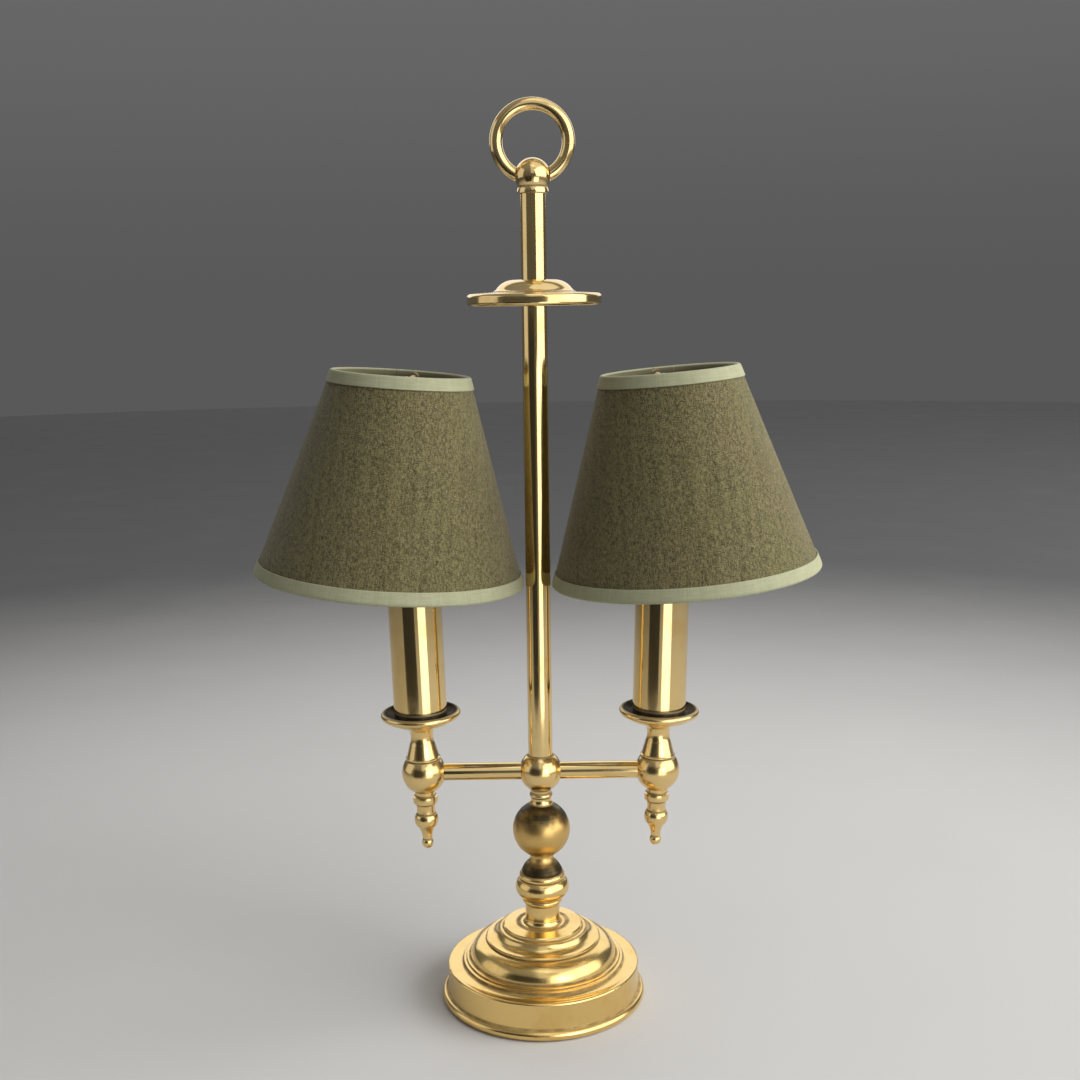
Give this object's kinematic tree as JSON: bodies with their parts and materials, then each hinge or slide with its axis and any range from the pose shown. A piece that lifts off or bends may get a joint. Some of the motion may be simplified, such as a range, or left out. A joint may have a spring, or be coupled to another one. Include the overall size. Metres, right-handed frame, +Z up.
{
  "type": "table lamp",
  "caption": "Brass candlestick table lamp: stepped round base, turned stem, cross arms with candle tubes, tilting cloth cone shades, disc and carrying ring on the column.",
  "frame": {"origin": "centre of the felt's underside, on the surface that the lamp stands on", "axes": "+Z up along the column, +X along the right arm, +Y to the back, where the cord enters"},
  "size_m": [0.2722, 0.13, 0.4368],
  "materials": {
    "polished_brass": "polished, lacquered",
    "aged_brass": "aged, satin",
    "weight_iron": "as cast",
    "base_felt": "felt",
    "bush_plastic": "moulded",
    "thread_steel": "zinc plated",
    "block_plastic": "moulded",
    "holder_phenolic": "moulded",
    "contact_brass": "pressed",
    "lead_sheath": "extruded",
    "bulb_glass": "frosted",
    "cap_metal": "rolled",
    "shade_linen": "woven linen on card",
    "shade_trim": "woven tape",
    "shade_wire": "brass plated"
  },
  "bodies": {
    "stand": {"base_shell": "polished_brass", "base_weight": "weight_iron", "felt_pad": "base_felt", "cord_bush": "bush_plastic", "base_washer": "thread_steel", "base_nut": "thread_steel", "terminal_block": "block_plastic", "stem_pipe": "thread_steel", "stem_neck": "polished_brass", "stem_bell": "aged_brass", "stem_ball": "aged_brass", "hub_neck": "polished_brass", "hub_ball": "polished_brass", "column_lower_tube": "polished_brass", "column_disc": "polished_brass", "column_upper_tube": "polished_brass", "tie_rod": "thread_steel", "top_collar": "polished_brass", "finial_ball": "polished_brass", "arm_tube_left": "polished_brass", "candle_ball_left": "polished_brass", "drop_finial_left": "polished_brass", "baluster_left": "polished_brass", "drip_pan_left": "polished_brass", "pan_nut_left": "thread_steel", "candle_sleeve_left": "polished_brass", "holder_nipple_left": "thread_steel", "lampholder_left": "holder_phenolic", "screw_shell_left": "contact_brass", "centre_contact_left": "contact_brass", "lead_left": "lead_sheath", "arm_tube_right": "polished_brass", "candle_ball_right": "polished_brass", "drop_finial_right": "polished_brass", "baluster_right": "polished_brass", "drip_pan_right": "polished_brass", "pan_nut_right": "thread_steel", "candle_sleeve_right": "polished_brass", "holder_nipple_right": "thread_steel", "lampholder_right": "holder_phenolic", "screw_shell_right": "contact_brass", "centre_contact_right": "contact_brass", "lead_right": "lead_sheath"},
    "ring": {"ring_handle": "polished_brass"},
    "bulb_left": {"bulb_glass_left": "bulb_glass", "bulb_cap_left": "cap_metal"},
    "shade_left": {"shade_cover_left": "shade_linen", "shade_trim_top_left": "shade_trim", "shade_trim_bottom_left": "shade_trim", "shade_ring_top_left": "shade_wire", "shade_ring_bottom_left": "shade_wire", "shade_clip_left": "shade_wire"},
    "bulb_right": {"bulb_glass_right": "bulb_glass", "bulb_cap_right": "cap_metal"},
    "shade_right": {"shade_cover_right": "shade_linen", "shade_trim_top_right": "shade_trim", "shade_trim_bottom_right": "shade_trim", "shade_ring_top_right": "shade_wire", "shade_ring_bottom_right": "shade_wire", "shade_clip_right": "shade_wire"}
  },
  "joints": [
    {"name": "ring_swing", "type": "hinge", "parent": "stand", "child": "ring", "pos_m": [0, 0, 0.40178], "axis": [1, 0, 0], "range_deg": [-85, 85]},
    {"name": "shade_left_tilt", "type": "hinge", "parent": "stand", "child": "shade_left", "pos_m": [-0.06173, 0, 0.27458], "axis": [0, 1, 0], "range_deg": [0, 12]},
    {"name": "shade_right_tilt", "type": "hinge", "parent": "stand", "child": "shade_right", "pos_m": [0.06173, 0, 0.27458], "axis": [0, -1, 0], "range_deg": [0, 12]},
    {"name": "bulb_left_turn", "type": "hinge", "parent": "stand", "child": "bulb_left", "pos_m": [-0.06173, 0, 0.27458], "axis": [-0.0262, 0, 0.9997], "continuous": true},
    {"name": "bulb_right_turn", "type": "hinge", "parent": "stand", "child": "bulb_right", "pos_m": [0.06173, 0, 0.27458], "axis": [0.0262, 0, 0.9997], "continuous": true}
  ]
}
